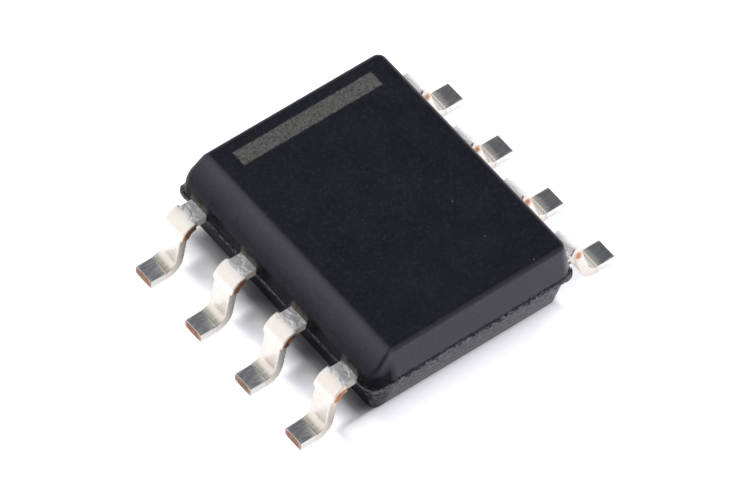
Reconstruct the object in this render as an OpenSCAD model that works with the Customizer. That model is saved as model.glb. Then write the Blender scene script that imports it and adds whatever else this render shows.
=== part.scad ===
// Small-outline package with eight gull-wing leads.
// The origin is the centre of the seating plane, under the feet. X runs along the two
// rows of leads, Y across them and Z up. Lead 1 is at -X and -Y, beside the bevelled
// long edge, and the count goes anticlockwise as seen from above.

/* [Moulded body] */
// Width of the body across the rows, at the parting line
body_w = 3.90; // [3.60:0.01:4.70]
// Distance from the middle of an end lead to the end of the body
end_margin = 0.545; // [0.45:0.005:0.80]
// Gap between the board and the underside
standoff = 0.18; // [0.05:0.01:0.25]
// Height of the lower half of the body, from the underside to the parting line
lower_h = 0.77; // [0.60:0.01:0.95]
// Height of the upper half of the body, from the parting line to the top face
upper_h = 0.65; // [0.54:0.01:0.80]
// Lean of the walls of the upper half, in degrees
upper_draft = 9; // [5:0.5:15]
// Lean of the walls of the lower half, in degrees
lower_draft = 14; // [5:0.5:15]
// Radius of the corners of the top face, seen from above
top_corner_r = 0.14; // [0.12:0.01:0.25]
// Radius of the corners of the underside, seen from below
bottom_corner_r = 0.12; // [0.08:0.01:0.20]
// Radius of the edge around the top face
top_edge_r = 0.10; // [0.03:0.01:0.12]
// Radius of the edge around the underside
bottom_edge_r = 0.06; // [0.02:0.01:0.08]
// Width of the bevel beside lead 1, measured across the top face
bevel_w = 0.31; // [0.15:0.01:0.40]
// Drop of the bevel below the top face
bevel_drop = 0.41; // [0.20:0.01:0.48]
// Radius that eases the two long edges of the bevel
bevel_ease = 0.16; // [0.02:0.01:0.20]
// Height of the ledge of flash left below the parting line
flash_t = 0.08; // [0.04:0.01:0.12]
// How far the flash stands out of the two long walls
flash_out = 0.012; // [0.005:0.001:0.050]
// How far the flash stands out of the two end walls
end_flash_out = 0.035; // [0.005:0.005:0.060]
// Radius of the corners of the flash
flash_corner_r = 0.22; // [0.05:0.01:0.30]
// Diameter of the ejector pin mark in the underside
eject_d = 1.00; // [0.60:0.05:1.40]
// Depth of the ejector pin mark
eject_depth = 0.03; // [0.01:0.01:0.05]

/* [Leads outside the body] */
// Distance between the middles of neighbouring leads
pitch = 1.27; // [1.15:0.01:1.55]
// Width of a lead
lead_w = 0.40; // [0.31:0.01:0.51]
// Thickness of the lead frame, plating included
lead_t = 0.16; // [0.13:0.01:0.20]
// Distance that a toe stands out from the wall of the body
lead_reach = 1.05; // [0.85:0.01:1.30]
// Straight length of a lead between the wall and its first bend, as the mean of both rows
shoulder_l = 0.15; // [0.11:0.01:0.24]
// How far the forming tool stood off the middle of the body, towards -Y
form_shift = 0.06; // [0.00:0.01:0.08]
// Inside radius of the bend at the shoulder
knee_r = 0.14; // [0.10:0.01:0.20]
// Inside radius of the bend above the foot
heel_r = 0.12; // [0.10:0.01:0.20]
// Slope of the leg from level, in degrees
leg_slope = 75; // [65:1:85]
// Where the cut dam bar starts, measured from the wall along the lead
dam_start = 0.20; // [0.05:0.01:0.25]
// Width of the cut dam bar, along the lead
dam_w = 0.32; // [0.20:0.01:0.40]
// What the cut leaves of the dam bar on each side of a lead
dam_stub = 0.04; // [0.01:0.005:0.08]

/* [Lead frame inside the body] */
// Length of a lead's neck between the wall and its anchor
neck_l = 0.28; // [0.20:0.01:0.40]
// Length, along the lead, of the cross-piece that anchors a middle lead
anchor_l = 0.30; // [0.20:0.01:0.36]
// How far the anchor of a middle lead stands out on each side
anchor_out = 0.22; // [0.10:0.01:0.26]
// How far the broad part of a corner lead stands out on each side
corner_out = 0.08; // [0.04:0.01:0.12]
// Gap between the inner ends of two facing corner leads
corner_gap = 0.90; // [0.70:0.05:1.20]
// Diameter of the hole that locks a corner lead into the compound
lock_d = 0.24; // [0.15:0.01:0.30]
// Clearance between the die pad and the leads around it
pad_gap = 0.22; // [0.12:0.01:0.30]
// How far the die pad is sunk below the leads
downset = 0.20; // [0.10:0.01:0.25]
// Slope of the sunk bends in the tie bars, in degrees
downset_slope = 35; // [25:1:60]
// Width of the two tie bars that held the die pad in its frame
tie_w = 0.36; // [0.25:0.01:0.50]
// Skin of compound over the cut end of a tie bar
tie_cover = 0.03; // [0.01:0.01:0.08]

/* [Die and bond wires] */
// Length of the die along the rows
die_l = 1.50; // [1.20:0.05:2.00]
// Width of the die across the rows
die_w = 1.20; // [0.80:0.05:1.60]
// Thickness of the die
die_t = 0.25; // [0.15:0.01:0.30]
// Thickness of the glue under the die
glue_t = 0.03; // [0.02:0.01:0.05]
// How far the glue spreads beyond the die
glue_rim = 0.06; // [0.02:0.01:0.10]
// Distance of a bond from the edge of the die
bond_inset = 0.10; // [0.08:0.01:0.15]
// Distance between neighbouring bonds along the die
bond_step = 0.30; // [0.15:0.01:0.45]
// Distance of a bond from the inner end of a corner lead
land_inset = 0.15; // [0.10:0.01:0.30]
// Diameter of a bond wire
wire_d = 0.025; // [0.018:0.001:0.038]
// Diameter of the ball at the die end of a wire
ball_d = 0.08; // [0.05:0.01:0.10]
// Height of a wire's loop over the straight line between its ends
loop_h = 0.16; // [0.10:0.01:0.20]

/* [Hidden] */
row = 4;
leads = [1:2 * row];
$fn = 48;
bend_steps = 6;
edge_steps = 4;
loop_steps = 8;
wire_sides = 8;
overlap = 0.1;

// The body
half_w = body_w / 2;
end_lead_x = (row - 1) / 2 * pitch;
half_l = end_lead_x + end_margin;
parting_z = standoff + lower_h;

// The lead frame, from the wall inwards
anchor_y = half_w - neck_l;
anchor_end_y = anchor_y - anchor_l;
pad_half_w = anchor_end_y - pad_gap;
pad_half_l = end_lead_x - lead_w / 2 - corner_out - pad_gap;
lead_z = parting_z - lead_t / 2;
lead_top = parting_z + lead_t / 2;
pad_top = lead_top - downset;
die_top = pad_top + glue_t + die_t;

// The bends of a lead formed in the middle of the tool, as distances along its middle line
// from the wall to the toe
knee_mid = knee_r + lead_t / 2;
heel_mid = heel_r + lead_t / 2;
leg_drop = parting_z - lead_t / 2 - (knee_mid + heel_mid) * (1 - cos(leg_slope));
leg_l = leg_drop / sin(leg_slope);
knee_start = shoulder_l;
knee_end = knee_start + knee_mid * leg_slope * PI / 180;
heel_start = knee_end + leg_l;
heel_end = heel_start + heel_mid * leg_slope * PI / 180;
foot_start_y = half_w + shoulder_l + (knee_mid + heel_mid) * sin(leg_slope) + leg_l * cos(leg_slope);
toe = heel_end + half_w + lead_reach - foot_start_y;

// ---- Outlines ----

function unit(v) = v / norm(v);
function left_of(v) = [-v.y, v.x];
function turned(v, a) = [v.x * cos(a) - v.y * sin(a), v.x * sin(a) + v.y * cos(a)];

// The arc of radius r that rounds the corner b on the way from a to c
function corner_arc(a, b, c, r) =
    let (back = unit(a - b), on = unit(c - b))
    let (half = acos(back * on) / 2)
    let (centre = b + unit(back + on) * r / sin(half))
    let (first = b + back * r / tan(half) - centre)
    let (turn = (180 - 2 * half) * sign(cross(b - a, c - b)))
    [for (k = [0:edge_steps]) centre + turned(first, turn * k / edge_steps)];

// The outline of a strip of thickness t along the middle line p, mitred at each point
function strip(p, t) =
    let (last = len(p) - 1)
    let (ways = [for (i = [0:last - 1]) unit(p[i + 1] - p[i])])
    let (sides = [for (i = [0:last])
        let (a = left_of(ways[max(i - 1, 0)]), b = left_of(ways[min(i, last - 1)]))
        unit(a + b) / (unit(a + b) * a)])
    concat([for (i = [0:last]) p[i] + sides[i] * t / 2],
        [for (i = [last:-1:0]) p[i] - sides[i] * t / 2]);

// The middle line of such a lead at distance s from the wall, as [y, z] on the +Y side
function lead_point(s) =
    s <= knee_start ? [half_w + s, parting_z]
    : s <= knee_end ? knee_point((s - knee_start) / knee_mid * 180 / PI)
    : s <= heel_start ? knee_point(leg_slope) + (s - knee_end) * [cos(leg_slope), -sin(leg_slope)]
    : s <= heel_end ? heel_point((heel_end - s) / heel_mid * 180 / PI)
    : [foot_start_y + s - heel_end, lead_t / 2];
function knee_point(a) = [half_w + shoulder_l + knee_mid * sin(a), parting_z - knee_mid * (1 - cos(a))];
function heel_point(a) = [foot_start_y - heel_mid * sin(a), lead_t / 2 + heel_mid * (1 - cos(a))];

// The middle line from distance a to distance b, with the points that its bends need
function lead_line(a, b) =
    let (bends = [for (k = [0:bend_steps], bend = [[knee_start, knee_end], [heel_start, heel_end]])
        bend[0] + (bend[1] - bend[0]) * k / bend_steps])
    let (knee = [for (s = bends) if (s < heel_start - overlap && s > a && s < b) s])
    let (heel = [for (s = bends) if (s >= heel_start - overlap && s > a && s < b) s])
    [for (s = concat([a], knee, heel, [b])) lead_point(s)];

// Which row lead n stands in, its place along X, and whether it is the last of its row
function lead_side(n) = n <= row ? -1 : 1;
function lead_x(n) = (n <= row ? n - (row + 1) / 2 : row + (row + 1) / 2 - n) * pitch;
function at_corner(n) = abs(lead_x(n)) > end_lead_x - pitch / 2;

// ---- Moulded body ----

// A flat outline drawn in [y, z], as a bar of length l along X
module along_x(l) {
    rotate([90, 0, 90]) linear_extrude(l, center = true) children();
}

// A flat outline drawn in [x, z], as a bar of length l along Y
module along_y(l) {
    rotate([90, 0, 0]) linear_extrude(l, center = true) children();
}

// One half of the moulding, standing on its parting face at z = 0. The walls lean in by
// the draft, and each corner is a cone on an upright axis with radius face_r at the face.
module mould_half(h, draft, face_r, edge_r) {
    lean = h * tan(draft);
    corner_r = face_r + lean;
    module wall_outline(half) {
        edge = corner_arc([half, 0], [half - lean, h], [0, h], edge_r);
        polygon(concat([[-half, 0], [half, 0]], edge, [for (i = [edge_steps:-1:0]) [-edge[i].x, edge[i].y]]));
    }
    along_x(2 * (half_l - corner_r)) wall_outline(half_w);
    along_y(2 * (half_w - corner_r)) wall_outline(half_l);
    for (sx = [0, 1], sy = [0, 1]) {
        mirror([sx, 0, 0]) mirror([0, sy, 0]) translate([half_l - corner_r, half_w - corner_r, 0])
            rotate_extrude(angle = 90)
            polygon(concat([[0, 0], [corner_r, 0]], corner_arc([corner_r, 0], [face_r, h], [0, h], edge_r), [[0, h]]));
    }
}

// What the bevel takes off the upper half, with its long edges eased
module bevel_cut() {
    foot = [-half_w, 0];
    low = foot + (upper_h - bevel_drop) * [tan(upper_draft), 1];
    high = foot + upper_h * [tan(upper_draft), 1] + [bevel_w, 0];
    eased = concat(corner_arc(foot, low, high, bevel_ease), corner_arc(low, high, [0, upper_h], bevel_ease));
    above = upper_h + overlap;
    along_x(2 * (half_l + overlap))
        polygon(concat([[-half_w - overlap, eased[0].y]], eased, [[high.x + overlap, above], [-half_w - overlap, above]]));
}

// The ledge that the mould leaves all round, under its parting line
module flash() {
    inner_l = half_l + end_flash_out - flash_corner_r;
    inner_w = half_w + flash_out - flash_corner_r;
    translate([0, 0, parting_z - flash_t]) linear_extrude(flash_t) {
        square(2 * [inner_l, inner_w + flash_corner_r], center = true);
        square(2 * [inner_l + flash_corner_r, inner_w], center = true);
        for (x = [-inner_l, inner_l], y = [-inner_w, inner_w]) translate([x, y]) circle(flash_corner_r);
    }
}

module package_body() {
    color("#26272c") difference() {
        union() {
            translate([0, 0, parting_z]) difference() {
                mould_half(upper_h, upper_draft, top_corner_r, top_edge_r);
                bevel_cut();
            }
            translate([0, 0, parting_z]) mirror([0, 0, 1])
                mould_half(lower_h, lower_draft, bottom_corner_r, bottom_edge_r);
            flash();
        }
        translate([0, 0, standoff - overlap]) cylinder(d = eject_d, h = overlap + eject_depth);
        for (n = leads) {
            lead_shape(n);
            wire_shape(n);
        }
        die_pad_shape();
        glue_shape();
        die_shape();
    }
}

// ---- Lead frame ----

// Lead n: the strip that is bent outside the body, the stubs of the dam bar on it, and
// the flat part that the body holds. The bends of the -Y row stand form_shift further out
// and those of the +Y row as much further in, while wall, dam bar and toe stay in place.
module lead_shape(n) {
    shift = -lead_side(n) * form_shift;
    dam = dam_start - shift;
    translate([lead_x(n), 0, 0]) mirror([0, lead_side(n) < 0 ? 1 : 0, 0]) {
        translate([0, shift, 0]) {
            along_x(lead_w) polygon(strip(lead_line(-overlap - shift, toe - shift), lead_t));
            along_x(lead_w + 2 * dam_stub) polygon(strip(lead_line(dam, dam + dam_w), lead_t));
        }
        translate([0, 0, lead_z]) linear_extrude(lead_t) {
            if (at_corner(n)) corner_lead_plan(); else middle_lead_plan();
        }
    }
}

// A middle lead ends in a cross-piece that faces the die pad
module middle_lead_plan() {
    translate([-lead_w / 2, anchor_end_y]) square([lead_w, half_w - anchor_end_y]);
    translate([-lead_w / 2 - anchor_out, anchor_end_y]) square([lead_w + 2 * anchor_out, anchor_l]);
}

// A corner lead runs in past the end of the die pad, and has a hole that the compound fills
module corner_lead_plan() {
    broad = lead_w / 2 + corner_out;
    difference() {
        union() {
            translate([-lead_w / 2, anchor_end_y]) square([lead_w, half_w - anchor_end_y]);
            translate([-broad, corner_gap / 2]) square([2 * broad, anchor_y - corner_gap / 2]);
        }
        translate([0, anchor_y - lock_d]) circle(d = lock_d);
    }
}

// The plate under the die, with a tie bar at each end that climbs back to the leads' level
module die_pad_shape() {
    pad_mid = pad_top - lead_t / 2;
    rise_x = pad_half_l + lead_t;
    rise_l = downset / tan(downset_slope);
    tie_line = [[pad_half_l - overlap, pad_mid], [rise_x, pad_mid], [rise_x + rise_l, parting_z],
        [half_l - tie_cover, parting_z]];
    translate([-pad_half_l, -pad_half_w, pad_top - lead_t]) cube([2 * pad_half_l, 2 * pad_half_w, lead_t]);
    for (s = [0, 1]) mirror([s, 0, 0]) along_y(tie_w) polygon(strip(tie_line, lead_t));
}

module lead(n) {
    color("#c8c5be") lead_shape(n);
}

module die_pad() {
    color("#b9714a") die_pad_shape();
}

// ---- Die and bond wires ----

module glue_shape() {
    size = [die_l, die_w] + 2 * [glue_rim, glue_rim];
    translate([-size.x / 2, -size.y / 2, pad_top]) cube([size.x, size.y, glue_t]);
}

module die_shape() {
    translate([-die_l / 2, -die_w / 2, pad_top + glue_t]) cube([die_l, die_w, die_t]);
}

module die_glue() {
    color("#8d8f90") glue_shape();
}

module die() {
    color("#59606c") die_shape();
}

// Where wire n starts on the die and where it lands on its lead
function bond_at(n) =
    [sign(lead_x(n)) * (die_l / 2 - bond_inset - (at_corner(n) ? 0 : bond_step)),
        lead_side(n) * (die_w / 2 - bond_inset), die_top];
function landing_at(n) =
    [lead_x(n), lead_side(n) * (at_corner(n) ? corner_gap / 2 + land_inset : anchor_y - anchor_l / 2), lead_top];

// Wire n stands on its ball, loops over the edge of the die and lies down on its lead.
// Each station is [middle, tangent, radius], and the wire is a skin over rings around them.
module wire_shape(n) {
    start = bond_at(n);
    end = landing_at(n);
    flat = unit([end.x - start.x, end.y - start.y, 0]);
    side = cross(flat, [0, 0, 1]);
    up = [0, 0, 1];
    ball_h = ball_d / 4;
    wire_r = wire_d / 2;
    lie = wire_r * cos(180 / wire_sides);
    neck = start + 2 * ball_h * up;
    touch = end + lie * up;
    run = touch - neck;
    loop = [for (k = [1:loop_steps])
        let (u = k / loop_steps)
        [neck + u * u * run + 4 * u * (1 - u) * loop_h * up, unit(2 * u * run + 4 * (1 - 2 * u) * loop_h * up), wire_r]];
    stations = concat(
        [[start, up, ball_d / 2], [start + ball_h * up, up, ball_d / 2], [neck, up, wire_r]],
        [for (k = [0:loop_steps - 2]) loop[k]],
        [[touch, flat, wire_r], [touch + 2 * wire_d * flat, flat, wire_r]]);
    rings = [for (s = stations, k = [0:wire_sides - 1])
        let (a = (k + 0.5) * 360 / wire_sides)
        s[0] + s[2] * (cos(a) * side + sin(a) * cross(side, s[1]))];
    last = (len(stations) - 1) * wire_sides;
    polyhedron(rings, concat(
        [[for (k = [0:wire_sides - 1]) k]],
        [for (i = [0:wire_sides:last - 1], k = [0:wire_sides - 1])
            let (next = (k + 1) % wire_sides)
            [i + k, i + wire_sides + k, i + wire_sides + next, i + next]],
        [[for (k = [wire_sides - 1:-1:0]) last + k]]));
}

module bond_wire(n) {
    color("#c9a45c") wire_shape(n);
}

package_body();
die_pad();
die_glue();
die();
for (n = leads) lead(n);
for (n = leads) bond_wire(n);
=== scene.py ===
import math

import bmesh
import bpy
from mathutils import Matrix, Vector, noise


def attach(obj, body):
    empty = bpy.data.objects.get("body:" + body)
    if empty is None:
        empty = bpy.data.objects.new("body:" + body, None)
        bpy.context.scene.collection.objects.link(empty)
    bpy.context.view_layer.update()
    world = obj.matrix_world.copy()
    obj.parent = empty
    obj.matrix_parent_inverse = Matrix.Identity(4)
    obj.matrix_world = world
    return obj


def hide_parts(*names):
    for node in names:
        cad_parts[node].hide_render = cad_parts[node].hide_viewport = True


# Small surface-mount chip: a black moulding in two drafted halves with a ragged ledge
# between them, and eight plated leads trimmed and formed from flat strip.
# Lengths in the dictionaries are millimetres unless a note says otherwise.

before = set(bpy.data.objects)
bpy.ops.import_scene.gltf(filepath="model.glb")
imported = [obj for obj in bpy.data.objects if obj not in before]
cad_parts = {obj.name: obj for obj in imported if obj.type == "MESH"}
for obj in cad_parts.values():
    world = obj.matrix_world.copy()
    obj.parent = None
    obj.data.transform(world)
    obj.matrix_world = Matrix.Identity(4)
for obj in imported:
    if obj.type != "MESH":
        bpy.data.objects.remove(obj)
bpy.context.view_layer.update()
mm = 0.001
scene = bpy.context.scene
# what several pieces share: the half sizes are the body's at its parting line, and patternStart is
# how many pitches left of the middle the looks start to count leads from
package = {"pitch": 1.27, "partingZ": 0.95, "halfLength": 2.45, "halfWidth": 1.95, "patternStart": 40}
print("stage: frame loaded")


def addNode(tree, kind, inputs=None, **settings):
    made = tree.nodes.new("ShaderNode" + kind)
    for name, value in settings.items():
        setattr(made, name, value)
    for name, value in (inputs or {}).items():
        if isinstance(value, bpy.types.NodeSocket):
            tree.links.new(value, made.inputs[name])
        else:
            made.inputs[name].default_value = value
    return made


def calc(tree, operation, *values):
    return addNode(tree, "Math", dict(enumerate(values)), operation=operation).outputs[0]


def times(tree, first, *others):
    for other in others:
        first = calc(tree, "MULTIPLY", first, other)
    return first


def remap(tree, value, low, high, toLow=0.0, toHigh=1.0):
    made = addNode(tree, "MapRange", {"Value": value, "From Min": low, "From Max": high,
                                      "To Min": toLow, "To Max": toHigh})
    return made.outputs["Result"]


def window(tree, value, near, full, fades, gone):
    # 1 from full to fades, 0 before near and beyond gone
    return times(tree, remap(tree, value, near, full), remap(tree, value, gone, fades))


def centred(tree, pattern, amount):
    # a pattern from 0 to 1, as an offset either side of 0
    return times(tree, calc(tree, "SUBTRACT", pattern, 0.5), amount)


def mixColour(tree, factor, first, second):
    return addNode(tree, "Mix", {0: factor, 6: first, 7: second}, data_type="RGBA").outputs[2]


def mixValue(tree, factor, first, second):
    return addNode(tree, "Mix", {0: factor, 2: first, 3: second}).outputs[0]


def objectPoint(tree):
    # the point on the piece, in millimetres
    coords = addNode(tree, "TexCoord").outputs["Object"]
    return addNode(tree, "VectorMath", {0: coords, 3: 1 / mm}, operation="SCALE").outputs[0]


def splitPoint(tree, point):
    return addNode(tree, "SeparateXYZ", {0: point}).outputs


def offLead(tree, x):
    # how far x is from the middle of the nearest lead
    pitch = package["pitch"]
    place = calc(tree, "MODULO", calc(tree, "ADD", x, pitch * package["patternStart"]), pitch)
    return calc(tree, "SUBTRACT", place, pitch / 2)


def uvPoint(tree, layer):
    return addNode(tree, "UVMap", uv_map=layer).outputs["UV"]


def noiseOf(tree, point, scale, detail=4.0, rough=0.55, distort=0.0):
    # a noise in the dictionaries gives these numbers in this order
    # it lies mostly between 0.3 and 0.7, so the remaps that spread it start and end about there
    made = addNode(tree, "TexNoise", {"Vector": point, "Scale": scale, "Detail": detail,
                                      "Roughness": rough, "Distortion": distort})
    return made.outputs["Fac"]


def speckOf(tree, point, scale, size, share=0.1):
    # round specks in a share of the cells: 1 inside a speck, 0 elsewhere
    cells = addNode(tree, "TexVoronoi", {"Vector": point, "Scale": scale})
    keep = addNode(tree, "TexWhiteNoise", {"Vector": cells.outputs["Position"]}).outputs["Value"]
    near = calc(tree, "LESS_THAN", cells.outputs["Distance"], size)
    return times(tree, near, calc(tree, "GREATER_THAN", keep, 1 - share))


def stretched(tree, point, sizes):
    return addNode(tree, "VectorMath", {0: point, 1: sizes}, operation="MULTIPLY").outputs[0]


def bumped(tree, height, depth, strength, normal=None):
    inputs = {"Height": height, "Distance": depth * mm, "Strength": strength}
    if normal is not None:
        inputs["Normal"] = normal
    return addNode(tree, "Bump", inputs).outputs["Normal"]


def newMaterial(name):
    material = bpy.data.materials.new(name)
    material.use_nodes = True
    tree = material.node_tree
    return material, tree, tree.nodes["Principled BSDF"]


def feed(tree, shader, name, value):
    if isinstance(value, bpy.types.NodeSocket):
        tree.links.new(value, shader.inputs[name])
    else:
        shader.inputs[name].default_value = value


# a laser-marked bar of melted, sandy compound, across the end of the top beside lead 1
bar = {
    "centre": (-1.932, 0.150), "half": (0.148, 1.316), "above": 1.55,
    "rim": (-0.012, 0.016), "ragged": 0.06,
    "dark": (0.045, 0.045, 0.042, 1), "light": (0.150, 0.148, 0.136, 1),
    "sandNoise": (22.0, 4.0, 0.75), "rough": 0.75,
}


def barMask(tree, x, y, z, ragged):
    # inside the bar: 1, outside: 0, with edges a few hundredths of a millimetre rough
    inset = [calc(tree, "SUBTRACT", half, calc(tree, "ABSOLUTE", calc(tree, "SUBTRACT", place, centre)))
             for place, centre, half in zip((x, y), bar["centre"], bar["half"])]
    depth = calc(tree, "ADD", calc(tree, "MINIMUM", *inset), ragged)
    return times(tree, remap(tree, depth, *bar["rim"]), calc(tree, "GREATER_THAN", z, bar["above"]))


# painted reflection: an olive-brown patch on the walls above the leads stands in for the leads' reflection in
# the glossy wall
paintedLeadReflection = {
    "colour": (0.150, 0.135, 0.110, 1), "across": (0.23, 0.17), "wall": (1.84, 1.88),
    "bottom": 0.96, "top": (1.19, 1.07), "raggedSide": 0.5, "raggedTop": 2.2,
}


def paintedLeadReflectionMask(tree, x, y, z, jagged):
    # where the painted reflection of each lead lies on the wall above it
    off = calc(tree, "ABSOLUTE", offLead(tree, x))
    atLead = remap(tree, calc(tree, "ADD", off, times(tree, jagged, paintedLeadReflection["raggedSide"])), *paintedLeadReflection["across"])
    onWall = remap(tree, calc(tree, "ABSOLUTE", y), *paintedLeadReflection["wall"])
    low = remap(tree, calc(tree, "ADD", z, times(tree, jagged, paintedLeadReflection["raggedTop"])), *paintedLeadReflection["top"])
    return times(tree, atLead, onWall, low, calc(tree, "GREATER_THAN", z, paintedLeadReflection["bottom"]))


# the strips that tore when the chips were cut apart, under the parting line of both ends
torn = {
    "end": (2.28, 2.31), "colour": (0.024, 0.024, 0.027, 1), "light": (0.340, 0.340, 0.350, 1),
    "rough": 0.50, "lumpNoise": (15.0, 5.0, 0.7),
    "jagNoise": (13.0, 4.0, 0.6), "jagStretch": (1, 1, 0.5), "jagDepth": 0.10,
    # by height from the parting line
    "fade": (-0.62, -0.12, 0.25, 1.0), "top": (0.035, 0.010),
    # painted shade: a near-black jagged line just above the parting line at the ends, for the shadow in the
    # crevice there
    "paintedCreviceShade": (-0.030, -0.012, 0.010, 0.024),
    "paintedCreviceShadeColour": (0.0090, 0.0090, 0.0100, 1), "paintedCreviceShadeRough": 0.95,
    "scrap": (-0.16, -0.10, -0.045, -0.015), "scrapColour": (0.30, 0.31, 0.32, 1),
    # the corners of the ledge are lighter grey, in lumps
    "corner": (3.96, 4.12), "cornerColour": (0.280, 0.280, 0.290, 1),
    "speckScale": 11.0, "speckSize": 0.16, "speckColour": (0.42, 0.42, 0.43, 1),
}
compound = {
    "dark": (0.0026, 0.0028, 0.0068, 1), "light": (0.0040, 0.0042, 0.0086, 1),
    "grain": (0.0250, 0.0250, 0.0300, 1), "grainSeen": (0.52, 0.75, 0.0, 0.75),
    "dust": (0.16, 0.17, 0.17, 1), "dustScale": 3.1, "dustSize": 0.035,
    "cloudNoise": (2.2, 5.0), "grainNoise": (24.0, 3.0, 0.6), "fineNoise": (160.0, 2.0),
    # the steel mould's walls are polished so that the part slides out of them
    "roughness": (0.30, 0.35), "wallRoughness": 0.20, "wallTop": (1.22, 1.18),
    # gloss by height, and painted shade on the bevelled side: its gloss fades to almost none towards the
    # parting line, darkening the bevel's foot and the wall below it
    "index": 1.60, "paintedSurroundTint": (0.85, 0.81, 0.97, 1), "plainGloss": (1.50, 1.58, 0.52, 0.42),
    "bevelSide": (-1.42, -1.56), "bevelShadeGloss": (1.16, 1.62, 0.04, 0.80), "cloudShift": 0.10,
    # depth and strength of each relief, as in the other looks
    "fineBump": (0.0010, 0.6), "grainBump": (0.0024, 0.6),
    "tornBump": (0.050, 0.9), "sandBump": (0.006, 0.7),
}


def makeCompound(name, broken):
    # broken: how much of the torn, granular look the whole piece has
    material, tree, shader = newMaterial(name)
    point = objectPoint(tree)
    x, y, z = splitPoint(tree, point)
    cloudy = noiseOf(tree, point, *compound["cloudNoise"])
    grain = noiseOf(tree, point, *compound["grainNoise"])
    fine = noiseOf(tree, point, *compound["fineNoise"])
    lumps = noiseOf(tree, point, *torn["lumpNoise"])
    sand = noiseOf(tree, point, *bar["sandNoise"])
    jag = noiseOf(tree, stretched(tree, point, torn["jagStretch"]), *torn["jagNoise"])
    jagged = centred(tree, jag, torn["jagDepth"])

    # where each look is
    height = calc(tree, "ADD", calc(tree, "SUBTRACT", z, package["partingZ"]), jagged)
    atEnd = remap(tree, calc(tree, "ABSOLUTE", x), *torn["end"])
    strip = times(tree, remap(tree, height, *torn["fade"]), remap(tree, height, *torn["top"]), atEnd)
    strip = calc(tree, "MAXIMUM", strip, broken)
    paintedCreviceShade = times(tree, window(tree, height, *torn["paintedCreviceShade"]), atEnd, 1.0 - broken)
    scrap = times(tree, window(tree, height, *torn["scrap"]), atEnd, remap(tree, jag, 0.53, 0.60))
    reach = calc(tree, "ADD", calc(tree, "ABSOLUTE", x), calc(tree, "ABSOLUTE", y))
    lighterCorners = times(tree, remap(tree, reach, *torn["corner"]), remap(tree, lumps, 0.35, 0.55, 0.2, 1.0),
                   broken)
    specks = times(tree, speckOf(tree, point, torn["speckScale"], torn["speckSize"]), strip)
    dust = speckOf(tree, point, compound["dustScale"], compound["dustSize"])
    inBar = barMask(tree, x, y, z, centred(tree, sand, bar["ragged"]))

    colour = mixColour(tree, remap(tree, cloudy, 0.35, 0.65), compound["dark"], compound["light"])
    tornColour = mixColour(tree, remap(tree, lumps, 0.44, 0.66), torn["colour"], torn["light"])
    barColour = mixColour(tree, remap(tree, sand, 0.36, 0.66), bar["dark"], bar["light"])
    layers = (
        (remap(tree, grain, *compound["grainSeen"]), compound["grain"]),
        (strip, tornColour),
        # painted shade of the crevice above the ledge at the ends
        (paintedCreviceShade, torn["paintedCreviceShadeColour"]),
        (scrap, torn["scrapColour"]),
        (lighterCorners, torn["cornerColour"]),
        (specks, torn["speckColour"]),
        (dust, compound["dust"]),
        # painted reflection of the leads on the wall above them
        (paintedLeadReflectionMask(tree, x, y, z, jagged), paintedLeadReflection["colour"]),
        (inBar, barColour),
    )
    for mask, over in layers:
        colour = mixColour(tree, mask, colour, over)
    feed(tree, shader, "Base Color", colour)

    roughness = mixValue(tree, remap(tree, z, *compound["wallTop"]),
                         remap(tree, cloudy, 0.3, 0.7, *compound["roughness"]), compound["wallRoughness"])
    for mask, rough in ((inBar, bar["rough"]), (strip, torn["rough"]), (paintedCreviceShade, torn["paintedCreviceShadeRough"])):
        roughness = calc(tree, "MAXIMUM", roughness, times(tree, mask, rough))
    feed(tree, shader, "Roughness", roughness)
    feed(tree, shader, "IOR", compound["index"])

    rise = calc(tree, "ADD", z, centred(tree, cloudy, compound["cloudShift"]))
    # painted shade: on the bevelled side the gloss fades towards the parting line
    glossWithPaintedShade = mixValue(tree, remap(tree, y, *compound["bevelSide"]), remap(tree, z, *compound["plainGloss"]),
                     remap(tree, rise, *compound["bevelShadeGloss"]))
    feed(tree, shader, "Specular IOR Level", glossWithPaintedShade)
    # painted reflection colour: the compound's reflections are tinted blue-violet, standing in for a bluish
    # surround
    feed(tree, shader, "Specular Tint", compound["paintedSurroundTint"])
    normal = bumped(tree, fine, *compound["fineBump"])
    normal = bumped(tree, grain, *compound["grainBump"], normal)
    normal = bumped(tree, times(tree, lumps, strip), *compound["tornBump"], normal)
    normal = bumped(tree, times(tree, sand, inBar), *compound["sandBump"], normal)
    feed(tree, shader, "Normal", normal)
    return material


mouldedBlack = makeCompound("mouldedBlack", 0.0)
tornBlack = makeCompound("tornBlack", 0.75)
print("stage: compound materials")


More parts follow.
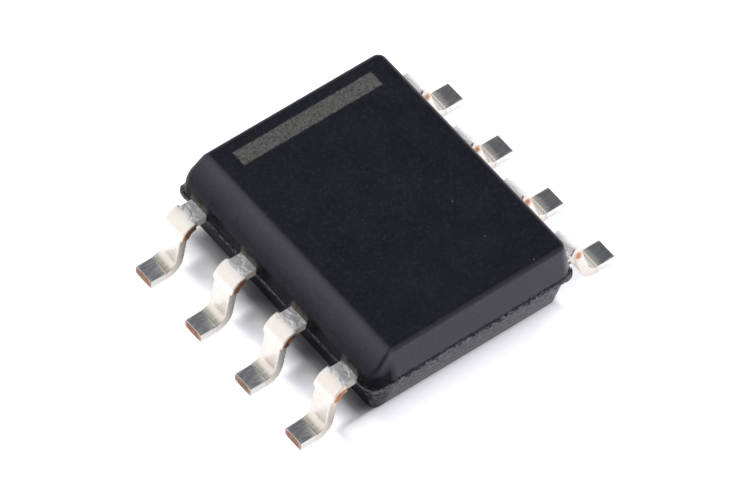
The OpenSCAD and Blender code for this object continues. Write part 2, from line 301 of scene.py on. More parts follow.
plating = {
    "bright": (0.94, 0.888, 0.822, 1), "warm": (0.94, 0.860, 0.795, 1), "dull": (0.74, 0.76, 0.79, 1),
    # painted shade: the darker foot colour is a shaded copy of the plating, for the rear feet
    "paintedRearFootShade": (0.42, 0.44, 0.47, 1), "olive": (0.36, 0.35, 0.29, 1),
    "paintedFootSideLight": (0.97, 0.955, 0.920, 1), "drawn": (0.88, 0.80, 0.71, 1),
    "copper": (0.74, 0.35, 0.17, 1), "copperDark": (0.36, 0.17, 0.10, 1), "peach": (0.92, 0.72, 0.58, 1),
    # painted shade: the toe's copper colours are darkened copies of the stubs' copper
    "shadedToeCopper": (0.40, 0.20, 0.120, 1), "shadedToeDark": (0.21, 0.110, 0.080, 1),
    "toeRim": (0.62, 0.50, 0.44, 1),
    # distances from the toe, along the strip
    "foot": (0.33, 0.29), "heel": (0.31, 0.33, 0.41, 0.50), "lowLeg": (0.68, 0.50),
    "rearRise": (0.21, 0.37), "drawnStart": (0.36, 0.52),
    # across the strip, and along it from the wall
    "rearShadeEdge": (0.190, 0.150), "shoulder": (0.33, 0.18),
    "mottleNoise": (7.0, 4.0, 0.55, 0.5), "broadNoise": (3.5, 2.0, 0.5), "grainNoise": (60.0, 3.0, 0.6),
    "streakNoise": (1.0, 3.0, 0.5), "streakStretch": (3.0, 16.0, 1.0),
    "roughness": (0.24, 0.30), "shoulderRough": 0.06, "footRough": (-0.06, 0.10), "lowLegRough": 0.34,
    "shoulderMetal": 0.75, "shoulderSideMetal": 0.35,
    "grainBump": (0.0003, 0.5), "riseBump": (0.026, 1.0),
    "streakBump": (0.008, 0.5), "mottleBump": (0.044, 0.8),
}


def makePlating(name, onSide):
    # the blank's own length and breadth are in the UV map, so marks follow the strip round its bends
    material, tree, shader = newMaterial(name)
    flat = uvPoint(tree, "blank")
    along, aside, _ = splitPoint(tree, flat)
    fromToe = splitPoint(tree, uvPoint(tree, "toe"))[0]
    point = objectPoint(tree)
    inRear = calc(tree, "GREATER_THAN", splitPoint(tree, point)[1], 0.0)
    inFront = calc(tree, "SUBTRACT", 1.0, inRear)
    mottle = noiseOf(tree, point, *plating["mottleNoise"])
    broad = noiseOf(tree, point, *plating["broadNoise"])
    streak = noiseOf(tree, stretched(tree, flat, plating["streakStretch"]), *plating["streakNoise"])
    grain = noiseOf(tree, point, *plating["grainNoise"])
    foot = remap(tree, fromToe, *plating["foot"])
    heel = times(tree, window(tree, fromToe, *plating["heel"]), inFront)
    # the rear feet are drawn up towards the heel before the bend itself
    rise = times(tree, remap(tree, fromToe, *plating["rearRise"]), inRear)
    shoulder = remap(tree, along, *plating["shoulder"])
    colour = mixColour(tree, remap(tree, broad, 0.35, 0.65), plating["warm"], plating["bright"])
    worn = times(tree, shoulder, remap(tree, mottle, 0.35, 0.65, 0.35, 1.0))
    colour = mixColour(tree, worn, colour, plating["dull"])
    if not onSide:
        footToneAndShade = mixColour(tree, inRear, plating["dull"], plating["paintedRearFootShade"])
        # painted shade: the rear feet's tops are painted darker than the front ones, short of their edges,
        # which keep the bright plating, and fading out where the feet rise towards the heel
        inner = remap(tree, calc(tree, "ABSOLUTE", aside), *plating["rearShadeEdge"])
        inFootToneAndShade = times(tree, foot, remap(tree, rise, 0.0, 0.2, 1.0, 0.1),
                       calc(tree, "MAXIMUM", inner, inFront), remap(tree, streak, 0.40, 0.64, 0.45, 1.0))
        colour = mixColour(tree, inFootToneAndShade, colour, footToneAndShade)
        # the front heels are streaked olive
        heelOliveStreaks = times(tree, heel, remap(tree, streak, 0.35, 0.60, 0.75, 1.0))
        colour = mixColour(tree, heelOliveStreaks, colour, plating["olive"])
    else:
        # painted light: the sides of the feet are painted almost white, standing in for the bright floor they
        # reflect
        colour = mixColour(tree, foot, colour, plating["paintedFootSideLight"])
        drawn = times(tree, remap(tree, fromToe, *plating["drawnStart"]),
                      remap(tree, streak, 0.35, 0.65, 0.7, 0.95), remap(tree, inRear, 0.0, 1.0, 1.0, 0.25))
        colour = mixColour(tree, drawn, colour, plating["drawn"])
    feed(tree, shader, "Base Color", colour)
    # matt tin scatters light on the worn shoulders and spreads it above the heels
    metal = plating["shoulderSideMetal"] if onSide else plating["shoulderMetal"]
    feed(tree, shader, "Metallic", remap(tree, shoulder, 0.0, 1.0, 1.0, metal))
    notLeg = calc(tree, "MAXIMUM", heel, calc(tree, "MAXIMUM", foot, inRear))
    lowLeg = times(tree, remap(tree, fromToe, *plating["lowLeg"]), calc(tree, "SUBTRACT", 1.0, notLeg))
    roughness = remap(tree, mottle, 0.3, 0.7, *plating["roughness"])
    for mask, rough in ((shoulder, plating["shoulderRough"]), (lowLeg, plating["lowLegRough"]),
                        (foot, remap(tree, streak, 0.4, 0.65, *plating["footRough"]))):
        roughness = calc(tree, "ADD", roughness, times(tree, mask, rough))
    feed(tree, shader, "Roughness", roughness)
    normal = bumped(tree, grain, *plating["grainBump"])
    normal = bumped(tree, times(tree, rise, rise), *plating["riseBump"], normal)
    normal = bumped(tree, times(tree, streak, foot), *plating["streakBump"], normal)
    normal = bumped(tree, times(tree, mottle, shoulder), *plating["mottleBump"], normal)
    feed(tree, shader, "Normal", normal)
    return material


cuts = {
    # middle and half size of the bare patch on the blank, how soft its rim is, and its three colours
    "trimmedFront": ((0.38, -0.014), (0.165, 0.060), 0.18, "copperDark", "copper", "bright"),
    "trimmedRear": ((0.37, -0.004), (0.078, 0.052), 0.45, "copperDark", "copper", "bright"),
    # painted shade: the toe's cut face takes the darkened copper colours
    "cutToe": ((0.0, 0.020), (0.230, 0.090), 0.32, "shadedToeDark", "shadedToeCopper", "toeRim"),
}
shear = {
    "patchNoise": (8.0, 5.0, 0.6, 0.5), "scoreNoise": (1.0, 4.0, 0.7), "scoreStretch": (60.0, 12.0, 1.0),
    "ragged": 0.5, "border": (1.1, 2.2), "roughness": (0.30, 0.48),
    "scoreBump": (0.006, 0.7), "patchBump": (0.020, 0.5),
}


def makeCut(name, middle, half, blur, dark, light, rim):
    # bare copper alloy where the strip was sheared, inside a border where the punch dragged plating over it
    material, tree, shader = newMaterial(name)
    flat = uvPoint(tree, "blank")
    patch = noiseOf(tree, objectPoint(tree), *shear["patchNoise"])
    scores = noiseOf(tree, stretched(tree, flat, shear["scoreStretch"]), *shear["scoreNoise"])
    fromMiddle = addNode(tree, "VectorMath", {0: flat, 1: (*middle, 0)}, operation="SUBTRACT").outputs[0]
    scaled = stretched(tree, fromMiddle, (1 / half[0], 1 / half[1], 0))
    reach = addNode(tree, "VectorMath", {0: scaled}, operation="LENGTH").outputs["Value"]
    reach = calc(tree, "ADD", reach, centred(tree, scores, shear["ragged"]))
    bare = remap(tree, reach, 1.0 + blur, 1.0 - blur)
    colour = mixColour(tree, remap(tree, patch, 0.40, 0.62), plating[dark], plating[light])
    border = mixColour(tree, remap(tree, reach, *shear["border"]), plating["peach"], plating[rim])
    feed(tree, shader, "Base Color", mixColour(tree, bare, border, colour))
    feed(tree, shader, "Metallic", 1.0)
    feed(tree, shader, "Roughness", remap(tree, scores, 0.3, 0.7, *shear["roughness"]))
    normal = bumped(tree, scores, *shear["scoreBump"])
    feed(tree, shader, "Normal", bumped(tree, patch, *shear["patchBump"], normal))
    return material


formedPlating = makePlating("formedPlating", False)
drawnSide = makePlating("drawnSide", True)
trimmedFront, trimmedRear, cutToe = (makeCut(name, *values) for name, values in cuts.items())
print("stage: metal materials")


moulding = {
    "upperHeight": 0.65, "upperLean": 0.1030, "upperCorner": 0.2430, "upperEdge": 0.085,
    "lowerHeight": 0.77, "lowerLean": 0.1920, "lowerCorner": 0.3120, "lowerEdge": 0.048,
    "cornerSteps": 9, "edgeSteps": 7,
    "bevelLow": (-1.9040, 1.24), "bevelHigh": (-1.5370, 1.60),
    # faces turned up this far are the top and the bevel, which have eased edges
    "crown": 0.5,
    # the ejector pin leaves a round recess with a raised lip of compound round it: radius and height
    "pinRings": ((0.53, 0.0), (0.515, -0.006), (0.50, 0.0), (0.49, 0.03)),
}
# merge in millimetres, sharp in degrees
finish = {"merge": 0.0005, "sharp": 50}


def roundedOutline(bm, halfLength, halfWidth, corner, z):
    corners = bmesh.ops.create_grid(bm, x_segments=1, y_segments=1, size=1)["verts"]
    for vert in corners:
        vert.co = Vector((vert.co.x * halfLength, vert.co.y * halfWidth, z)) * mm
    bmesh.ops.bevel(bm, geom=corners, offset=corner * mm, offset_type="OFFSET", affect="VERTICES",
                    segments=moulding["cornerSteps"], profile=0.5, material=-1)
    bm.faces.ensure_lookup_table()
    return bm.faces[-1]


def extruded(bm, faces, kind=bmesh.types.BMFace):
    grown = bmesh.ops.extrude_face_region(bm, geom=faces)["geom"]
    return [item for item in grown if isinstance(item, kind)]


def easeEdges(bm, edges, radius, steps):
    bmesh.ops.bevel(bm, geom=edges, offset=radius * mm, offset_type="OFFSET", affect="EDGES",
                    segments=steps, profile=0.5, material=-1, clamp_overlap=True)


def finishPiece(bm, name, materials, replaced):
    bmesh.ops.remove_doubles(bm, verts=bm.verts, dist=finish["merge"] * mm)
    bmesh.ops.recalc_face_normals(bm, faces=bm.faces)
    for face in bm.faces:
        face.smooth = True
    for edge in bm.edges:
        edge.smooth = edge.calc_face_angle(math.pi) < math.radians(finish["sharp"])
    mesh = bpy.data.meshes.new(name)
    bm.to_mesh(mesh)
    bm.free()
    piece = bpy.data.objects.new(name, mesh)
    scene.collection.objects.link(piece)
    for material in materials:
        mesh.materials.append(material)
    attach(piece, "root")
    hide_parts(replaced)
    return piece


def draftedHalf(corner, lean, rise):
    # from the parting line to a face that is smaller all round by the lean
    bm = bmesh.new()
    outline = roundedOutline(bm, package["halfLength"], package["halfWidth"], corner, package["partingZ"])
    cap = extruded(bm, [outline])
    bmesh.ops.inset_region(bm, faces=cap, thickness=lean * mm, depth=0, use_even_offset=True)
    bmesh.ops.translate(bm, verts=cap[0].verts, vec=(0, 0, rise * mm))
    bmesh.ops.remove_doubles(bm, verts=bm.verts, dist=finish["merge"] * mm)
    return bm, cap[0]


def finishHalf(bm, name):
    piece = finishPiece(bm, name, [mouldedBlack], "package_body")
    weighted = piece.modifiers.new("evenNormals", "WEIGHTED_NORMAL")
    weighted.keep_sharp = True


def makeUpperHalf():
    bm = draftedHalf(moulding["upperCorner"], moulding["upperLean"], moulding["upperHeight"])[0]
    lowY, lowZ = moulding["bevelLow"]
    highY, highZ = moulding["bevelHigh"]
    outward = Vector((0, lowZ - highZ, highY - lowY)).normalized()
    sliced = bmesh.ops.bisect_plane(bm, geom=bm.verts[:] + bm.edges[:] + bm.faces[:],
                                    plane_co=Vector((0, lowY, lowZ)) * mm, plane_no=outward, clear_outer=True)
    rim = [item for item in sliced["geom_cut"] if isinstance(item, bmesh.types.BMEdge)]
    bmesh.ops.contextual_create(bm, geom=rim)
    bmesh.ops.recalc_face_normals(bm, faces=bm.faces)
    bm.normal_update()
    crown = [face for face in bm.faces if face.normal.z > moulding["crown"]]
    border = {edge for face in crown for edge in face.edges}
    easeEdges(bm, list(border), moulding["upperEdge"], moulding["edgeSteps"])
    finishHalf(bm, "upperMoulding")


def makeLowerHalf():
    bm, bottom = draftedHalf(moulding["lowerCorner"], moulding["lowerLean"], -moulding["lowerHeight"])
    easeEdges(bm, list(bottom.edges), moulding["lowerEdge"], moulding["edgeSteps"])
    underside = min(bm.faces, key=lambda face: face.calc_center_median().z)
    outer = list(underside.edges)
    count = len(outer)
    level = underside.calc_center_median().z
    bmesh.ops.delete(bm, geom=[underside], context="FACES_ONLY")
    rings = []
    for radius, height in moulding["pinRings"]:
        ring = bmesh.ops.create_circle(bm, segments=count, radius=radius * mm, cap_ends=False,
                                       matrix=Matrix.Translation((0, 0, level + height * mm)))["verts"]
        rings.append(list({edge for vert in ring for edge in vert.link_edges}))
    for ring in rings:
        bmesh.ops.bridge_loops(bm, edges=outer + ring)
        outer = ring
    bmesh.ops.holes_fill(bm, edges=outer, sides=0)
    finishHalf(bm, "lowerMoulding")


# the ledge left between the mould halves, broken off roughly at both ends
flash = {
    # past the body at the ends and at the sides
    "reach": (0.035, 0.012), "corner": 0.22, "height": 0.08, "rim": 0.06, "spacing": 0.022, "wallCuts": 2,
    # how far in from the edge it is broken, how deep there, and how rough and how thick its top is
    "brokenRim": 0.045, "raggedEnd": 0.034, "raggedSide": 0.016, "raggedTop": 0.030, "topSkin": 0.01,
    # what is worn off: the middle, the noise's share and the most
    "wear": (0.70, 1.1, 1.3), "liftEnd": 1.6, "liftSide": 0.6, "liftMiddle": 0.5,
    "noiseScale": (9.3, 9.3, 18.6), "liftScale": 1.7, "liftShift": (5, 1, 2), "fractal": (0.6, 2.2, 4),
    # the corners where a scrap still stands out: side in x, side in y, length
    "tips": ((1, 1, 0.020), (-1, -1, 0.028)), "tipRadius": 0.16, "tipSlant": 0.6,
    # round them the ledge is whole for the first distance, and gets back to broken over the second
    "whole": (0.12, 0.20),
}


def makeFlash():
    bm = bmesh.new()
    halfLength = package["halfLength"] + flash["reach"][0]
    halfWidth = package["halfWidth"] + flash["reach"][1]
    face = roundedOutline(bm, halfLength, halfWidth, flash["corner"], package["partingZ"] - flash["height"])
    for edge in list(face.edges):
        cuts = int(edge.calc_length() / (flash["spacing"] * mm))
        if cuts > 1:
            bmesh.ops.subdivide_edges(bm, edges=[edge], cuts=cuts)
    lid = extruded(bm, [bm.faces[0]])
    bmesh.ops.translate(bm, verts=lid[0].verts, vec=(0, 0, flash["height"] * mm))
    bmesh.ops.inset_region(bm, faces=lid, thickness=flash["rim"] * mm, depth=0, use_even_offset=True)
    standing = flash["height"] / 2 * mm
    walls = [edge for edge in bm.edges if abs(edge.verts[0].co.z - edge.verts[1].co.z) > standing]
    bmesh.ops.subdivide_edges(bm, edges=walls, cuts=flash["wallCuts"], use_grid_fill=True)
    for vert in bm.verts:
        place = vert.co / mm
        outX = abs(place.x) > halfLength - flash["brokenRim"]
        outY = abs(place.y) > halfWidth - flash["brokenRim"]
        inCorner = (abs(place.x) > halfLength - flash["corner"]
                    and abs(place.y) > halfWidth - flash["corner"])
        if outX or outY or inCorner:
            breakLedge(vert, place, Vector((halfLength, halfWidth)), outX or inCorner, outY, inCorner)
    finishPiece(bm, "partingLedge", [tornBlack], "package_body")


def breakLedge(vert, place, halfSize, onEnd, onSide, inCorner):
    where = place * Vector(flash["noiseScale"])
    middle, share, most = flash["wear"]
    worn = min(max(middle + share * noise.fractal(where, *flash["fractal"]), 0.0), most)
    worn *= flash["raggedEnd"] if onEnd else flash["raggedSide"]
    whole, fading = flash["whole"]
    for signX, signY, tip in flash["tips"]:
        away = (halfSize * Vector((signX, signY)) - place.xy).length
        worn *= min(max((away - whole) / fading, 0.0), 1.0)
        if inCorner and place.x * signX > 0 and place.y * signY > 0:
            push = tip * max(0.0, 1.0 - away / flash["tipRadius"]) * mm
            vert.co.x += push * signX
            vert.co.y += push * signY * flash["tipSlant"]
    vert.co.x -= math.copysign(worn if onEnd else 0, place.x) * mm
    vert.co.y -= math.copysign(worn if onSide else 0, place.y) * mm
    if place.z > package["partingZ"] - flash["topSkin"]:
        lift = noise.fractal(where * flash["liftScale"] + Vector(flash["liftShift"]), *flash["fractal"])
        lift = lift * (flash["liftEnd"] if onEnd else flash["liftSide"]) - flash["liftMiddle"]
        vert.co.z += lift * flash["raggedTop"] * mm


makeUpperHalf()
makeLowerHalf()
makeFlash()
print("stage: moulding")


leadStrip = {
    "width": 0.40, "thickness": 0.16, "reach": 1.05, "buried": 0.10,
    # the stubs are what the trimming punch left of the bar that joined neighbouring leads
    "stubStart": 0.20, "stubEnd": 0.52, "stub": {-1: 0.04, 1: 0.028},
    "edge": 0.046, "edgeSteps": 4, "slice": 0.026, "acrossSlices": 7,
    "kneeRadius": 0.22, "heelRadius": 0.26,
    # how far a face is turned that way to belong to a side, a stub's end, the toe or a flat
    "onSide": 0.75, "onStub": 0.6, "onToe": 0.4, "onFlat": 0.7, "pastSide": 0.01, "toeDepth": 0.03,
    # dents by the trimming punch and the bending tool, which press the shoulder more than the leg
    "dent": 0.0035, "dentScale": 5.0, "dentShift": (3.1, 1.7, 0), "pressedTo": 0.3, "legDent": 0.25,
    "seed": 7,
}
# the forming tool stood a little off the middle, so the -Y row bends further out and more steeply
rowBends = {-1: {"kneeStart": 0.20, "slope": 80}, 1: {"kneeStart": 0.09, "slope": 72}}
# how far along the body, in pitches, and on which side
leadPlaces = {
    "lead_1": (-1.5, -1), "lead_2": (-0.5, -1), "lead_3": (0.5, -1), "lead_4": (1.5, -1),
    "lead_5": (1.5, 1), "lead_6": (0.5, 1), "lead_7": (-0.5, 1), "lead_8": (-1.5, 1),
}


def slicePiece(bm, axis, place):
    direction = Vector((0, 0, 0))
    direction[axis] = 1
    bmesh.ops.bisect_plane(bm, geom=bm.verts[:] + bm.edges[:] + bm.faces[:],
                           plane_co=direction * place * mm, plane_no=direction)


def bendStrip(bm, start, radius, slope, turn):
    # turn -1 bends what lies past start downwards, and 1 upwards, round a tool of that radius
    arc = radius * slope
    for vert in bm.verts:
        past = vert.co.y - start
        if past > 0:
            held = min(past, arc)
            spoke = Vector((0, past - held, vert.co.z - turn * radius))
            spoke.rotate(Matrix.Rotation(turn * held / radius, 3, "X"))
            vert.co.y = start + spoke.y
            vert.co.z = turn * radius + spoke.z


def heelAndToe(side):
    # how far along the flat strip the heel bend and the toe are
    knee, heel = leadStrip["kneeRadius"], leadStrip["heelRadius"]
    kneeStart, slope = rowBends[side]["kneeStart"], math.radians(rowBends[side]["slope"])
    drop = package["partingZ"] - leadStrip["thickness"] / 2 - (knee + heel) * (1 - math.cos(slope))
    leg = drop / math.sin(slope)
    heelStart = kneeStart + knee * slope + leg
    footStart = kneeStart + (knee + heel) * math.sin(slope) + leg * math.cos(slope)
    return heelStart, heelStart + heel * slope + leadStrip["reach"] - footStart


def makeBlank(side, toe):
    # the flat strip from its buried end to its toe, with the stubs
    bm = bmesh.new()
    sizes = (leadStrip["width"] * mm, (toe + leadStrip["buried"]) * mm, leadStrip["thickness"] * mm)
    bmesh.ops.create_cube(bm, size=1)
    bmesh.ops.scale(bm, verts=bm.verts, vec=sizes)
    bmesh.ops.translate(bm, verts=bm.verts, vec=(0, (toe - leadStrip["buried"]) / 2 * mm, 0))
    slicePiece(bm, 1, leadStrip["stubStart"])
    slicePiece(bm, 1, leadStrip["stubEnd"])
    for way in (-1, 1):
        cheek = [face for face in bm.faces if face.normal.x * way > leadStrip["onSide"]
                 and leadStrip["stubStart"] * mm < face.calc_center_median().y < leadStrip["stubEnd"] * mm]
        pushed = extruded(bm, cheek, bmesh.types.BMVert)
        bmesh.ops.translate(bm, verts=pushed, vec=(way * leadStrip["stub"][side] * mm, 0, 0))
        bmesh.ops.delete(bm, geom=cheek, context="FACES_ONLY")
        bm.normal_update()
    bmesh.ops.recalc_face_normals(bm, faces=bm.faces)
    corners = [edge for edge in bm.edges
               if edge.is_manifold and edge.calc_face_angle(0) > math.radians(finish["sharp"])]
    easeEdges(bm, corners, leadStrip["edge"], leadStrip["edgeSteps"])
    return bm


def markBlank(bm, toe):
    # the stub ends, the toe and the drawn sides have materials of their own
    bm.normal_update()
    for face in bm.faces:
        centre = face.calc_center_median() / mm
        inStub = (leadStrip["stubStart"] < centre.y < leadStrip["stubEnd"]
                  and abs(centre.x) > leadStrip["width"] / 2 + leadStrip["pastSide"])
        if inStub and abs(face.normal.x) > leadStrip["onStub"]:
            face.material_index = 1
        elif face.normal.y > leadStrip["onToe"] and centre.y > toe - leadStrip["toeDepth"]:
            face.material_index = 2
        elif abs(face.normal.x) > leadStrip["onSide"]:
            face.material_index = 3


def sliceBlank(bm, toe):
    for step in range(1, int((toe + leadStrip["buried"]) / leadStrip["slice"])):
        slicePiece(bm, 1, -leadStrip["buried"] + step * leadStrip["slice"])
    for step in range(1, leadStrip["acrossSlices"]):
        slicePiece(bm, 0, leadStrip["width"] * (step / leadStrip["acrossSlices"] - 0.5))
    slicePiece(bm, 2, 0)


def mapBlank(bm, toe):
    # the flat blank's own maps: along the strip, and across it or through its thickness
    fromWall = bm.loops.layers.uv.new("blank")
    fromToe = bm.loops.layers.uv.new("toe")
    bm.normal_update()
    for face in bm.faces:
        for loop in face.loops:
            place = loop.vert.co / mm
            aside = place.x if abs(face.normal.z) > leadStrip["onFlat"] else place.z
            loop[fromWall].uv = (place.x, place.z) if face.material_index == 2 else (place.y, aside)
            loop[fromToe].uv = (toe - place.y, aside)


def makeLead(name, pitches, side, number):
    heelStart, toe = heelAndToe(side)
    bm = makeBlank(side, toe)
    markBlank(bm, toe)
    sliceBlank(bm, toe)
    mapBlank(bm, toe)
    for vert in bm.verts:
        where = vert.co / mm * leadStrip["dentScale"] + Vector(leadStrip["dentShift"]) * number
        pressed = 1.0 if vert.co.y < leadStrip["pressedTo"] * mm else leadStrip["legDent"]
        vert.co += noise.noise_vector(where) * leadStrip["dent"] * pressed * mm
    slope = math.radians(rowBends[side]["slope"])
    bendStrip(bm, heelStart * mm, leadStrip["heelRadius"] * mm, slope, 1)
    bendStrip(bm, rowBends[side]["kneeStart"] * mm, leadStrip["kneeRadius"] * mm, slope, -1)
    bmesh.ops.translate(bm, verts=bm.verts, vec=(0, package["halfWidth"] * mm, package["partingZ"] * mm))
    for vert in bm.verts:
        vert.co.z = max(vert.co.z, 0.0)
    if side < 0:
        bmesh.ops.rotate(bm, verts=bm.verts, cent=(0, 0, 0), matrix=Matrix.Rotation(math.pi, 3, "Z"))
    bmesh.ops.translate(bm, verts=bm.verts, vec=(pitches * package["pitch"] * mm, 0, 0))
    trimmed = trimmedFront if side < 0 else trimmedRear
    finishPiece(bm, "formed_" + name, [formedPlating, trimmed, cutToe, drawnSide], name)


# without a seed the dents would be different in every run
noise.seed_set(leadStrip["seed"])
for number, (name, (pitches, side)) in enumerate(leadPlaces.items(), 1):
    makeLead(name, pitches, side, number)
print("stage: leads")


# crumbs that the trimming punch left round the ledge
scraps = {
    # place, radius and material: tin or compound
    "grains": (
        ((2.175, 2.000, 0.955), 0.030, 0), ((2.262, 1.982, 0.950), 0.025, 0),
        ((2.345, 1.938, 0.945), 0.019, 0), ((2.300, -1.900, 0.790), 0.026, 1),
        ((2.336, -1.850, 0.590), 0.030, 1),
    ),
    "flat": 0.6, "rough": 0.9, "roughScale": 18.0,
    "tin": (0.80, 0.80, 0.79, 1), "compound": (0.150, 0.160, 0.155, 1), "pits": (0, 0, 0, 1),
    "pitScale": 40.0, "metal": 0.3, "roughness": (0.45, 0.65),
}


def makeGrit(name, colour):
    material, tree, shader = newMaterial(name)
    pits = noiseOf(tree, objectPoint(tree), scraps["pitScale"])
    pitted = mixColour(tree, remap(tree, pits, 0.35, 0.65, 0.0, 0.5), colour, scraps["pits"])
    feed(tree, shader, "Base Color", pitted)
    feed(tree, shader, "Metallic", scraps["metal"])
    feed(tree, shader, "Roughness", remap(tree, pits, 0.3, 0.7, *scraps["roughness"]))
    return material


def makeScraps():
    bm = bmesh.new()
    for place, radius, number in scraps["grains"]:
        centre = Vector(place) * mm
        grain = bmesh.ops.create_icosphere(bm, subdivisions=2, radius=radius * mm,
                                           matrix=Matrix.Translation(centre))["verts"]
        for vert in grain:
            spoke = vert.co - centre
            spoke *= 1.0 + scraps["rough"] * noise.noise(vert.co / mm * scraps["roughScale"])
            spoke.z *= scraps["flat"]
            vert.co = centre + spoke
        for face in {face for vert in grain for face in vert.link_faces}:
            face.material_index = number
            face.smooth = True
    mesh = bpy.data.meshes.new("scraps")
    bm.to_mesh(mesh)
    bm.free()
    mesh.materials.append(makeGrit("scrapTin", scraps["tin"]))
    mesh.materials.append(makeGrit("crumb", scraps["compound"]))
    piece = bpy.data.objects.new("scraps", mesh)
    scene.collection.objects.link(piece)
    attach(piece, "root")


makeScraps()
print("stage: scraps")


hidden = {
    # two colours, metallic, roughness, and the scale of the grain
    "copper": ((0.72, 0.40, 0.25, 1), (0.55, 0.28, 0.16, 1), 1.0, 0.32, 25.0),
    "die_glue": ((0.42, 0.43, 0.43, 1), (0.30, 0.31, 0.31, 1), 0.4, 0.55, 60.0),
    "silicon": ((0.11, 0.12, 0.16, 1), (0.16, 0.15, 0.19, 1), 0.6, 0.16, 8.0),
    "bond_wire": ((0.95, 0.68, 0.28, 1), (0.85, 0.58, 0.22, 1), 1.0, 0.22, 90.0),
}
hiddenGrain = {"patchShare": 0.2, "roughFrom": 0.8, "roughTo": 1.2, "bump": (0.002, 0.5)}


def makeHidden(name, first, second, metal, rough, scale):
    material, tree, shader = newMaterial("inner_" + name)
    point = objectPoint(tree)
    patch = noiseOf(tree, point, scale * hiddenGrain["patchShare"])
    grain = noiseOf(tree, point, scale)
    feed(tree, shader, "Base Color", mixColour(tree, remap(tree, patch, 0.35, 0.65), first, second))
    feed(tree, shader, "Metallic", metal)
    feed(tree, shader, "Roughness", remap(tree, grain, 0.3, 0.7, rough * hiddenGrain["roughFrom"],
                                          rough * hiddenGrain["roughTo"]))
    feed(tree, shader, "Normal", bumped(tree, grain, *hiddenGrain["bump"]))
    return material


innerLooks = {name: makeHidden(name, *values) for name, values in hidden.items()}
innerNodes = {"die_pad": "copper", "die_glue": "die_glue", "die": "silicon"}
innerNodes.update({f"bond_wire_{number}": "bond_wire" for number in range(1, len(leadPlaces) + 1)})
for name, look in innerNodes.items():
    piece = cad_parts[name]
    piece.data.materials.clear()
    piece.data.materials.append(innerLooks[look])
print("stage: inner parts")


studio = {
    "floorHalf": 120.0, "floorDrop": 0.002, "floorRoughness": 0.9,
    # the second colour is painted shade for the floor close to the chip
    "floorColour": (0.90, 0.90, 0.90, 1), "underside": (0.25, 0.25, 0.26, 1),
    # how much the floor glows to the eye, and in what polished metal shows
    "glowColour": (0.95, 0.95, 1.0, 1), "floorGlow": (0.85, 0.46),
    # the glow keeps off the chip: on each side, where it starts and where it is full
    "glowLeft": (-2.20, -2.34), "glowRight": (2.12, 2.62), "glowRise": 0.35,
    "glowFront": (1.86, 2.36), "glowBack": (1.70, 1.90),
    # and beside each lead of the -Y row, by distance from the lead's middle and from the chip's
    "leadShade": 0.75, "shadeAcross": (0.10, 0.22, 0.30, 0.635), "shadeOut": (1.82, 2.02, 2.16, 2.42),
    # the shade between the -Y leads, right under the wall
    "underWall": (2.02, 1.74, 0.0, 0.85), "underEnd": (2.20, 2.00),
    # the surround as light, the dark room that gloss shows, and what the eye sees
    "shade": (0.20, 0.205, 0.235, 1), "mirrorBase": (0.12, 0.13, 0.145, 1), "white": (1, 1, 1, 1),
    # what polished metal sees: towards, full within, gone beyond (degrees), brightness
    "mirrorGlow": (
        ((-0.50, -0.75, 0.52), 40, 66, 1.12),
        ((0.86, 0.42, 0.40), 30, 58, 0.90),
        ((-0.45, 0.88, -0.05), 26, 50, 0.72),
        ((-0.95, 0.22, 0.05), 24, 46, 0.60),
    ),
    # towards, size, strength
    "lamps": (
        ((-0.35, 0.80, 0.95), 32.0, 0.40),
        ((0.75, 0.10, 0.90), 36.0, 0.20),
        ((-0.85, -0.25, 0.62), 20.0, 0.45),
    ),
    "lampDistance": 70.0,
}


def glowMask(tree, x, y, out):
    # close to the chip nothing lifts the shade: 0 there, and 1 where the floor glows in full
    shaded = times(tree, window(tree, offLead(tree, x), *studio["shadeAcross"]),
                   window(tree, out, *studio["shadeOut"]), studio["leadShade"])
    front = times(tree, remap(tree, out, *studio["glowFront"]), calc(tree, "SUBTRACT", 1.0, shaded))
    right = calc(tree, "POWER", remap(tree, x, *studio["glowRight"]), studio["glowRise"])
    ends = calc(tree, "MAXIMUM", remap(tree, x, *studio["glowLeft"]), right)
    return calc(tree, "MAXIMUM", ends, calc(tree, "MAXIMUM", front, remap(tree, y, *studio["glowBack"])))


def makeFloorLook():
    material, tree, shader = newMaterial("paleFloor")
    feed(tree, shader, "Roughness", studio["floorRoughness"])
    feed(tree, shader, "Specular IOR Level", 0.0)
    path = addNode(tree, "LightPath").outputs
    x, y, _ = splitPoint(tree, objectPoint(tree))
    out = times(tree, y, -1.0)
    clear = glowMask(tree, x, y, out)
    # painted shade: the floor is painted dark close to the chip, where the chip's glossy walls show it, and
    # to the eye between the -Y leads right under the wall
    floorPaintedShade = times(tree, path["Is Glossy Ray"], calc(tree, "SUBTRACT", 1.0, clear))
    under = times(tree, path["Is Camera Ray"], remap(tree, out, *studio["underWall"]),
                  remap(tree, calc(tree, "ABSOLUTE", x), *studio["underEnd"]))
    floorPaintedShade = calc(tree, "MAXIMUM", floorPaintedShade, under)
    straight, mirrored = studio["floorGlow"]
    seen = calc(tree, "ADD", times(tree, path["Is Camera Ray"], straight),
                times(tree, path["Is Glossy Ray"], mirrored))
    feed(tree, shader, "Base Color", mixColour(tree, floorPaintedShade, studio["floorColour"], studio["underside"]))
    feed(tree, shader, "Emission Color", studio["glowColour"])
    feed(tree, shader, "Emission Strength", times(tree, seen, clear))
    # seen from underneath, the floor is clear and lets the soles and the underside show
    below = times(tree, path["Is Camera Ray"], addNode(tree, "NewGeometry").outputs["Backfacing"])
    glass = addNode(tree, "BsdfTransparent")
    surface = addNode(tree, "MixShader", {0: below, 1: shader.outputs[0], 2: glass.outputs[0]})
    tree.links.new(surface.outputs[0], tree.nodes["Material Output"].inputs["Surface"])
    return material


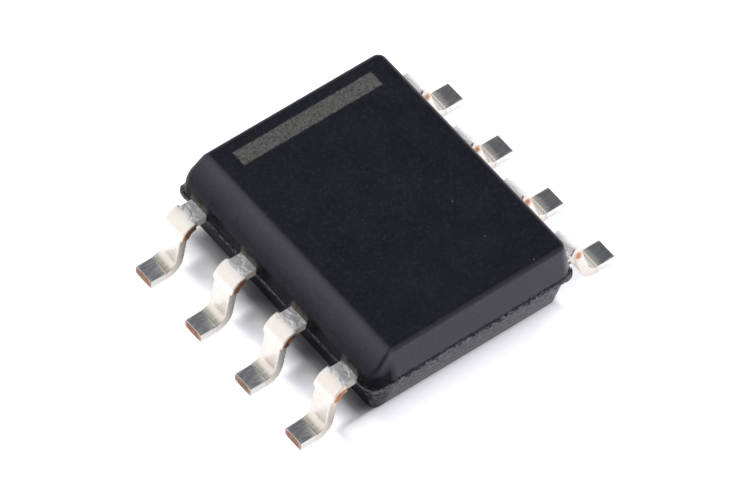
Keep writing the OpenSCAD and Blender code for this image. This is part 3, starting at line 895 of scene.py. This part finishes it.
def makeFloor():
    bm = bmesh.new()
    bmesh.ops.create_grid(bm, x_segments=1, y_segments=1, size=studio["floorHalf"] * mm)
    bmesh.ops.translate(bm, verts=bm.verts, vec=(0, 0, -studio["floorDrop"] * mm))
    mesh = bpy.data.meshes.new("floor")
    bm.to_mesh(mesh)
    bm.free()
    mesh.materials.append(makeFloorLook())
    floor = bpy.data.objects.new("floor", mesh)
    scene.collection.objects.link(floor)


def makeSky():
    # white to the eye, a soft grey surround as light, and a dark room with bright screens for the gloss
    world = bpy.data.worlds.new("softStudio")
    scene.world = world
    world.use_nodes = True
    tree = world.node_tree
    direction = addNode(tree, "TexCoord").outputs["Generated"]
    screens = 0.0
    for towards, inner, outer, level in studio["mirrorGlow"]:
        aim = Vector(towards).normalized()
        facing = addNode(tree, "VectorMath", {0: direction, 1: aim}, operation="DOT_PRODUCT").outputs["Value"]
        glow = remap(tree, facing, math.cos(math.radians(outer)), math.cos(math.radians(inner)), 0.0, level)
        screens = calc(tree, "MAXIMUM", screens, glow)
    path = addNode(tree, "LightPath").outputs
    mirrored = mixColour(tree, screens, studio["mirrorBase"], studio["white"])
    lit = mixColour(tree, path["Is Glossy Ray"], studio["shade"], mirrored)
    shown = mixColour(tree, path["Is Camera Ray"], lit, studio["white"])
    tree.links.new(shown, tree.nodes["Background"].inputs["Color"])


def makeLamp(number, towards, size, strength):
    lamp = bpy.data.lights.new(f"softLamp{number}", "AREA")
    lamp.shape = "DISK"
    lamp.size = size * mm
    away = Vector(towards).normalized() * studio["lampDistance"] * mm
    # strength 1 gives a face turned to the lamp the light of a plain white surround
    lamp.energy = strength * math.pi ** 2 * away.length_squared
    holder = bpy.data.objects.new(f"softLamp{number}", lamp)
    holder.location = away
    holder.rotation_euler = away.to_track_quat("Z", "Y").to_euler()
    holder.visible_glossy = False
    scene.collection.objects.link(holder)


# angles in degrees, the lens for a sensor 36 mm wide, and the clipping in metres
view = {
    "azimuth": 52.072, "elevation": 52.636, "roll": 1.083,
    "distance": 150.0, "aside": -0.0015, "above": 0.2692,
    "lens": 471.32544, "clipStart": 0.005, "clipEnd": 5,
}


def makeCamera():
    azimuth, elevation, roll = (math.radians(view[key]) for key in ("azimuth", "elevation", "roll"))
    back = Vector((math.sin(azimuth) * math.cos(elevation), -math.cos(azimuth) * math.cos(elevation),
                   math.sin(elevation)))
    right = Vector((math.cos(azimuth), math.sin(azimuth), 0))
    up = back.cross(right)
    rightRolled = right * math.cos(roll) + up * math.sin(roll)
    upRolled = up * math.cos(roll) - right * math.sin(roll)
    place = rightRolled * view["aside"] + upRolled * view["above"] + back * view["distance"]
    camera = bpy.data.objects.new("viewCamera", bpy.data.cameras.new("viewCamera"))
    turn = Matrix((rightRolled, upRolled, back)).transposed().to_4x4()
    camera.matrix_world = Matrix.Translation(place * mm) @ turn
    camera.data.lens = view["lens"]
    camera.data.clip_start = view["clipStart"]
    camera.data.clip_end = view["clipEnd"]
    scene.collection.objects.link(camera)
    scene.camera = camera


makeFloor()
makeSky()
for number, (towards, size, strength) in enumerate(studio["lamps"], 1):
    makeLamp(number, towards, size, strength)
makeCamera()
scene.view_settings.view_transform = "Standard"
print("stage: studio")
